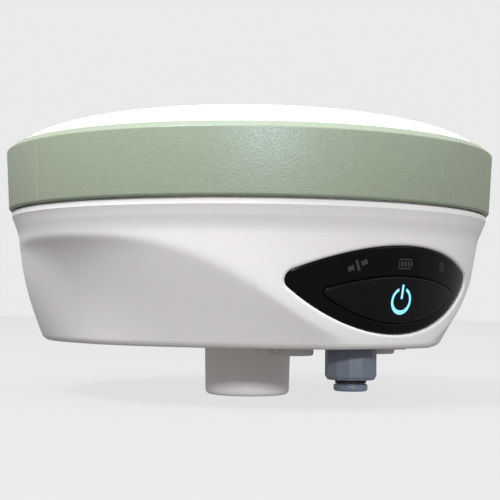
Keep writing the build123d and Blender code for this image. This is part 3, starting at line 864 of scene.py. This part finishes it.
def door_lock():
    """The slide with its thumb ribs, its neck through the door and its bolt inside."""
    shape = slab(-7, 7, 65.5, 70.5, 20.1, 20.9, corner=1.2, edge_low=0.2)
    for step in range(5):
        y = 66.4 + 0.8 * step
        shape.join(slab(-5.5, 5.5, y - 0.2, y + 0.2, 19.6, 20.1, corner=0.15, edge_low=0.1))
    shape.join(slab(-2.2, 2.2, 67, 69.2, 20.9, 23.3, corner=0.3))
    return shape.join(slab(-5, 5, 66.3, 73.4, 23.3, 24.5, corner=0.4, edge_low=0.2, edge_high=0.2))


# ---- materials ----------------------------------------------------------------------------

class Nodes:
    """A small helper that adds nodes to a material and links them."""

    def __init__(self, name):
        self.material = bpy.data.materials.new(name)
        self.material.use_nodes = True
        self.tree = self.material.node_tree
        self.shader = self.tree.nodes["Principled BSDF"]
        self.place = self.tree.nodes.new("ShaderNodeTexCoord").outputs["Object"]

    def add(self, kind, links=(), **values):
        node = self.tree.nodes.new(kind)
        for key, value in values.items():
            if hasattr(node, key):
                setattr(node, key, value)
            else:
                node.inputs[key.replace("_", " ").title()].default_value = value
        for socket, source in dict(links).items():
            self.tree.links.new(source, node.inputs[socket])
        return node

    def noise(self, scale, detail=3.0, stretch=(1, 1, 1)):
        place = self.place
        if stretch != (1, 1, 1):
            mapping = self.add("ShaderNodeMapping", {"Vector": place})
            mapping.inputs["Scale"].default_value = stretch
            place = mapping.outputs["Vector"]
        node = self.add("ShaderNodeTexNoise", {"Vector": place}, scale=scale, detail=detail, roughness=0.55)
        return node.outputs["Fac"]

    def cells(self, scale, feature):
        node = self.add("ShaderNodeTexVoronoi", {"Vector": self.place}, feature=feature, scale=scale)
        if feature == "SMOOTH_F1":
            node.inputs["Smoothness"].default_value = 0.4
        return node.outputs["Distance"]

    def ranged(self, source, low, high, start=0.3, end=0.7):
        node = self.add("ShaderNodeMapRange", {"Value": source})
        for socket, value in (("From Min", start), ("From Max", end), ("To Min", low), ("To Max", high)):
            node.inputs[socket].default_value = value
        return node.outputs["Result"]

    def mixed(self, factor, one, other):
        node = self.add("ShaderNodeMix", data_type="RGBA")
        self.tree.links.new(factor, node.inputs[0])
        for number, colour in ((6, one), (7, other)):
            if isinstance(colour, bpy.types.NodeSocket):
                self.tree.links.new(colour, node.inputs[number])
            else:
                node.inputs[number].default_value = (*colour, 1)
        return node.outputs[2]

    def bump(self, source, distance, under=None):
        """A relief of the given depth in millimetres, over another one if under is given."""
        node = self.add("ShaderNodeBump", {"Height": source})
        node.inputs["Distance"].default_value = distance * MM
        node.inputs["Strength"].default_value = 1.0
        if under:
            self.tree.links.new(under, node.inputs["Normal"])
        return node.outputs["Normal"]

    def worn_and_lit_edges(self, colour, edge_wear_and_highlight_colour, amount):
        """Convex edges moved toward another colour, broken up by noise: rubbed wear on most finishes, and a
        painted highlight on the bumper ring's top edge.
        """
        edges = self.add("ShaderNodeNewGeometry").outputs["Pointiness"]
        edges = self.ranged(edges, 0.0, amount, 0.505, 0.56)
        patchy = self.ranged(self.noise(260, 4), 0.25, 1.0, 0.4, 0.6)
        both = self.add("ShaderNodeMath", operation="MULTIPLY")
        self.tree.links.new(edges, both.inputs[0])
        self.tree.links.new(patchy, both.inputs[1])
        return self.mixed(both.outputs[0], colour, edge_wear_and_highlight_colour)

    def finish(self, colour, roughness=None, normal=None, **constants):
        for socket, source in (("Base Color", colour), ("Roughness", roughness), ("Normal", normal)):
            if source is not None:
                self.tree.links.new(source, self.shader.inputs[socket])
        for socket, value in constants.items():
            self.shader.inputs[socket.replace("_", " ")].default_value = value
        return self.material


def shade(colour, factor):
    return tuple(min(1.0, c * factor) for c in colour)


def moulded(name, colour, rough, grain=1400, height=0.012, mottle=0.03):
    """Moulded plastic with a spark-eroded grain, faint flow mottling and slightly polished edges."""
    n = Nodes(name)
    tone = n.mixed(n.ranged(n.noise(22, 3), 0, 1), shade(colour, 1 - mottle), shade(colour, 1 + mottle))
    tone = n.mixed(n.ranged(n.noise(grain * 0.5, 2), 0, 1), tone, shade(colour, 1 - mottle * 0.7))
    tone = n.worn_and_lit_edges(tone, shade(colour, 1.12), 0.25)
    gloss = n.ranged(n.noise(60, 4), rough - 0.05, rough + 0.05)
    return n.finish(tone, gloss, n.bump(n.noise(grain, 2), height))


def bumper_material(name, colour, edge_wear_and_highlight_colour):
    """Soft-touch moulding with a fine leather grain, and a pale top edge that is a painted highlight of the
    edge catching the light from above.
    """
    n = Nodes(name)
    tone = n.mixed(n.ranged(n.noise(30, 3), 0, 1), shade(colour, 0.965), shade(colour, 1.035))
    tone = n.mixed(n.ranged(n.noise(420, 3), 0, 1, 0.35, 0.65), tone, shade(colour, 0.94))
    # Painted highlight: the pale edge colour lightens the ring's top edge as light from above would.
    tone = n.worn_and_lit_edges(tone, edge_wear_and_highlight_colour, 0.35)
    gloss = n.ranged(n.noise(900, 3), 0.34, 0.5)
    pebble = n.bump(n.cells(1500, "SMOOTH_F1"), 0.05)
    surface = n.bump(n.noise(900, 4), 0.06, under=pebble)
    return n.finish(tone, gloss, surface, Specular_IOR_Level=0.8, Specular_Tint=(0.62, 0.8, 1.0, 1))


def gloss_material(name, colour, rough, specular):
    """Polished black moulding with a faint waviness and fine dust and rubbing marks."""
    n = Nodes(name)
    tone = n.mixed(n.ranged(n.noise(35, 4), 0, 1), colour, shade(colour, 1.25))
    smear = n.ranged(n.noise(70, 5, (1, 1, 3)), rough, rough + 0.09, 0.35, 0.75)
    surface = n.bump(n.noise(300, 2), 0.004)
    return n.finish(tone, smear, surface, Specular_IOR_Level=specular)


def rubber_material(name, colour, worn_colour, mottle):
    """Matt rubber, faintly clouded, with rubbed edges and a fine grain."""
    n = Nodes(name)
    tone = n.mixed(n.ranged(n.noise(90, 4), 0, 1), colour, shade(colour, 1 + mottle))
    tone = n.worn_and_lit_edges(tone, worn_colour, 0.5)
    gloss = n.ranged(n.noise(400, 3), 0.62, 0.8)
    return n.finish(tone, gloss, n.bump(n.noise(1800, 3), 0.02), Specular_IOR_Level=0.35)


def metal_material(name, colour, rough, stretch=(1, 1, 14)):
    """Machined metal: lines along the turning marks, with dulled patches."""
    n = Nodes(name)
    tone = n.mixed(n.ranged(n.noise(120, 4), 0, 1), shade(colour, 0.8), colour)
    tone = n.worn_and_lit_edges(tone, shade(colour, 1.25), 0.5)
    lines = n.noise(300, 4, stretch)
    gloss = n.ranged(lines, rough - 0.08, rough + 0.12)
    return n.finish(tone, gloss, n.bump(lines, 0.006), Metallic=1.0)


def board_material(name, colour):
    """Solder mask over copper tracks, with a grid of pads."""
    n = Nodes(name)
    tracks = n.ranged(n.cells(260, "DISTANCE_TO_EDGE"), 1, 0, 0.03, 0.09)
    tone = n.mixed(tracks, colour, shade(colour, 1.9))
    tone = n.mixed(n.ranged(n.noise(40, 3), 0, 0.5), tone, shade(colour, 0.6))
    gloss = n.ranged(n.noise(200, 3), 0.25, 0.4)
    return n.finish(tone, gloss, n.bump(tracks, 0.04))


def light_material(name, colour, strength):
    """A lit translucent light guide, a little uneven as a diffused lamp is."""
    n = Nodes(name)
    tone = n.mixed(n.ranged(n.noise(350, 2), 0, 1), shade(colour, 0.94), shade(colour, 1.05))
    gloss = n.ranged(n.noise(500, 2), 0.3, 0.4)
    n.tree.links.new(tone, n.shader.inputs["Emission Color"])
    return n.finish(tone, gloss, n.bump(n.noise(900, 2), 0.003), Emission_Strength=strength)


def all_materials():
    return {
        "radome_white": moulded("radome_white", (0.88, 0.88, 0.87), 0.42, height=0.006, mottle=0.012),
        "housing_white": moulded("housing_white", (0.80, 0.785, 0.775), 0.5, mottle=0.015),
        # The bumper's second colour is the painted highlight of its top edge.
        "bumper_green": bumper_material("bumper_green", (0.30, 0.352, 0.255), (0.37, 0.365, 0.25)),
        "panel_black": gloss_material("panel_black", (0.0035, 0.0035, 0.0045), 0.12, 0.10),
        "button_black": gloss_material("button_black", (0.005, 0.0055, 0.0065), 0.24, 0.12),
        "symbol_cyan": light_material("symbol_cyan", (0.20, 0.62, 0.80), 0.84),
        "icon_grey": moulded("icon_grey", (0.035, 0.036, 0.045), 0.4, mottle=0.1),
        "cap_grey": moulded("cap_grey", (0.165, 0.195, 0.255), 0.38, mottle=0.06),
        "lamp_clear": moulded("lamp_clear", (0.32, 0.32, 0.30), 0.3, mottle=0.08),
        "plug_grey": rubber_material("plug_grey", (0.62, 0.60, 0.575), (0.70, 0.68, 0.66), 0.06),
        "black_rubber": rubber_material("black_rubber", (0.018, 0.018, 0.018), (0.11, 0.11, 0.11), 0.7),
        "connector_metal": metal_material("connector_metal", (0.62, 0.58, 0.52), 0.32),
        "insert_brass": metal_material("insert_brass", (0.70, 0.52, 0.24), 0.28),
        "steel": metal_material("steel", (0.60, 0.60, 0.61), 0.28),
        "board_green": board_material("board_green", (0.02, 0.14, 0.06)),
        "shield_tin": metal_material("shield_tin", (0.72, 0.72, 0.71), 0.34, (1, 8, 1)),
        "plane_aluminium": metal_material("plane_aluminium", (0.80, 0.81, 0.82), 0.36, (9, 1, 1)),
        "patch_ceramic": moulded("patch_ceramic", (0.72, 0.69, 0.60), 0.55, 700, 0.02, 0.06),
        "battery_case": moulded("battery_case", (0.03, 0.03, 0.035), 0.45, 900, 0.03, 0.1),
        "contact_gold": metal_material("contact_gold", (0.86, 0.64, 0.26), 0.2),
        "vent_grey": moulded("vent_grey", (0.10, 0.10, 0.11), 0.5, 900, 0.02, 0.08),
    }


# ---- camera, lights and stage --------------------------------------------------------------

def add_camera():
    """A camera below the ring's height, 38 degrees round to the left of the panel, looking up a little."""
    azimuth, distance, eye = radians(-38.0), 480.0, 36.4
    pitch, yaw, roll = radians(2.63), -0.0012, 0.0105
    data = bpy.data.cameras.new("camera")
    data.lens, data.sensor_width = 84.6, 36.0
    data.clip_start = 0.01
    camera = bpy.data.objects.new("camera", data)
    camera.rotation_mode = "QUATERNION"
    camera.location = (distance * MM * sin(azimuth), -distance * MM * cos(azimuth), eye * MM)
    turn = Matrix.Rotation(azimuth + yaw, 4, "Z") @ Matrix.Rotation(pi / 2 + pitch, 4, "X")
    camera.rotation_quaternion = (turn @ Matrix.Rotation(roll, 4, "Z")).to_quaternion()
    bpy.context.scene.collection.objects.link(camera)
    bpy.context.scene.camera = camera


def add_light(name, azimuth, elevation, distance, size, power):
    """A square softbox aimed at the middle of the receiver. Its distance and size are metres."""
    data = bpy.data.lights.new(name, "AREA")
    data.energy, data.size = power, size
    light = bpy.data.objects.new(name, data)
    a, e = radians(azimuth), radians(elevation)
    toward = Vector((sin(a) * cos(e), -cos(a) * cos(e), sin(e)))
    light.location = Vector((0, 0, 0.06)) + toward * distance
    light.rotation_mode = "QUATERNION"
    light.rotation_quaternion = toward.to_track_quat("Z", "Y")
    bpy.context.scene.collection.objects.link(light)


def add_world():
    """Pale behind the receiver, and brighter above than below where it only gives light."""
    world = bpy.data.worlds.new("studio")
    world.use_nodes = True
    bpy.context.scene.world = world
    tree = world.node_tree
    back = tree.nodes["Background"]
    place = tree.nodes.new("ShaderNodeTexCoord")
    split = tree.nodes.new("ShaderNodeSeparateXYZ")
    tree.links.new(place.outputs["Generated"], split.inputs[0])
    ramp = tree.nodes.new("ShaderNodeValToRGB")
    height = tree.nodes.new("ShaderNodeMapRange")
    height.inputs["From Min"].default_value = -1.0
    tree.links.new(split.outputs["Z"], height.inputs["Value"])
    tree.links.new(height.outputs["Result"], ramp.inputs["Fac"])
    ramp.color_ramp.elements[0].color = (0.20, 0.19, 0.185, 1)
    ramp.color_ramp.elements[1].color = (0.9, 0.9, 0.92, 1)
    middle = ramp.color_ramp.elements.new(0.5)
    middle.color = (0.36, 0.355, 0.35, 1)
    seen = tree.nodes.new("ShaderNodeLightPath")
    mix = tree.nodes.new("ShaderNodeMix")
    mix.data_type = "RGBA"
    tree.links.new(seen.outputs["Is Camera Ray"], mix.inputs[0])
    tree.links.new(ramp.outputs["Color"], mix.inputs[6])
    mix.inputs[7].default_value = (0.823, 0.823, 0.823, 1)
    tree.links.new(mix.outputs[2], back.inputs["Color"])


def add_floor():
    """A pale, evenly lit floor that only the camera sees."""
    shape = Shape()
    shape.face(*[(2500 * cos(pi / 32 * n), 2500 * sin(pi / 32 * n), 0) for n in range(64)])
    n = Nodes("pale_floor")
    tone = n.mixed(n.ranged(n.noise(3, 2), 0, 1), (0.055, 0.055, 0.055), (0.06, 0.06, 0.06))
    n.finish(tone, Roughness=0.9, Specular_IOR_Level=0.0,
             Emission_Color=(0.72, 0.72, 0.72, 1), Emission_Strength=1.0)
    mesh = mesh_of("floor", shape)
    mesh.materials.append(n.material)
    floor = bpy.data.objects.new("floor", mesh)
    bpy.context.scene.collection.objects.link(floor)
    floor.visible_diffuse = False
    floor.visible_glossy = False


# ---- everything together --------------------------------------------------------------------

add_camera()
add_world()
add_floor()
add_light("key", -78, 58, 1.6, 0.5, 25)
add_light("front", -31, 14, 2.2, 0.12, 22)
add_light("right", 38, 32, 1.8, 0.9, 4)
add_light("top", -20, 82, 1.2, 1.2, 4)
bpy.context.scene.view_settings.view_transform = "Standard"

finish_of = all_materials()
node_slot = {part["node"]: part["material_slot"] for part in frame["record"]["subparts"]}
for node, part in frame["nodes"].items():
    part.data.materials.clear()
    part.data.materials.append(finish_of[node_slot[node]])


def build(name, shape, body):
    """The detailed piece for the CAD node of that name, in the node's own material."""
    slot = node_slot[name]
    make("look_" + name, shape, body, finish_of[slot], [name])


build("lower_housing", housing(), "receiver")
build("radome_cover", radome(), "receiver")
build("bumper_ring_front", bumper_ring(180), "receiver")
build("bumper_ring_rear", bumper_ring(0), "receiver")
build("control_panel", panel().join(panel_posts()), "receiver")
build("power_button", button(), "power_button")
build("power_symbol", power_symbol(), "power_button")
build("indicator_lenses", indicator_marks(), "receiver")
build("connector_cap", connector_cap(), "connector_cap")
build("cap_tether_ring", tether_ring(), "connector_cap")
build("antenna_connector", antenna_connector(), "receiver")
build("pole_thread_insert", pole_insert(), "receiver")
build("data_socket_plug", socket_plug(-1), "data_plug")
build("power_socket_plug", socket_plug(1), "power_plug")
build("plug_anchors", plug_anchors(), "receiver")
build("pressure_vent", pressure_vent(), "receiver")
build("battery_door", battery_door(), "battery_door")
build("door_lock", door_lock(), "door_lock")
